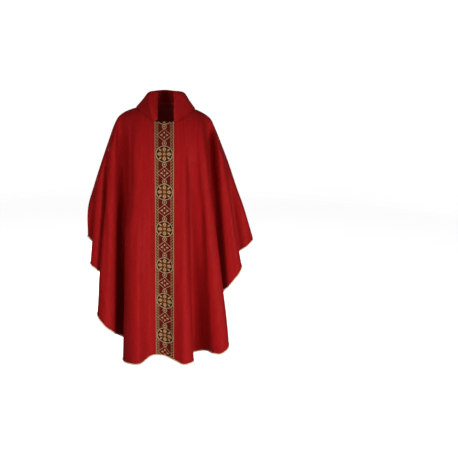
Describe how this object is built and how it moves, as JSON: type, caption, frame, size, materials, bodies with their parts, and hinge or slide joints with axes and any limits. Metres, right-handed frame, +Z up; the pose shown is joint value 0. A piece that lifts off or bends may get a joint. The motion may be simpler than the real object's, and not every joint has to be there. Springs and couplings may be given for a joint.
{
  "type": "gothic chasuble",
  "caption": "Hollow worn vestment: wide front and back cloth panels in deep folds, turned-down open collar, woven orphrey bands and corded edge.",
  "frame": {"origin": "middle of the neck opening at the height of the shoulder seams, where the wearer's neck and shoulders hold the garment", "axes": "+Z up, -Y to the front of the garment, +X to the wearer's left"},
  "size_m": [0.9483, 0.527, 1.5335],
  "materials": {
    "damask": "deep red satin damask with a soft sheen and a tone-on-tone scroll figure",
    "orphrey": "woven band, metallic gold figures on dark red and brown grounds",
    "gold_cord": "pale gold twisted edging cord"
  },
  "bodies": {
    "root": {"front_panel": "damask", "back_panel": "damask", "collar": "damask", "front_orphrey": "orphrey", "back_orphrey": "orphrey", "front_edge_cord": "gold_cord", "back_edge_cord": "gold_cord"}
  },
  "joints": []
}
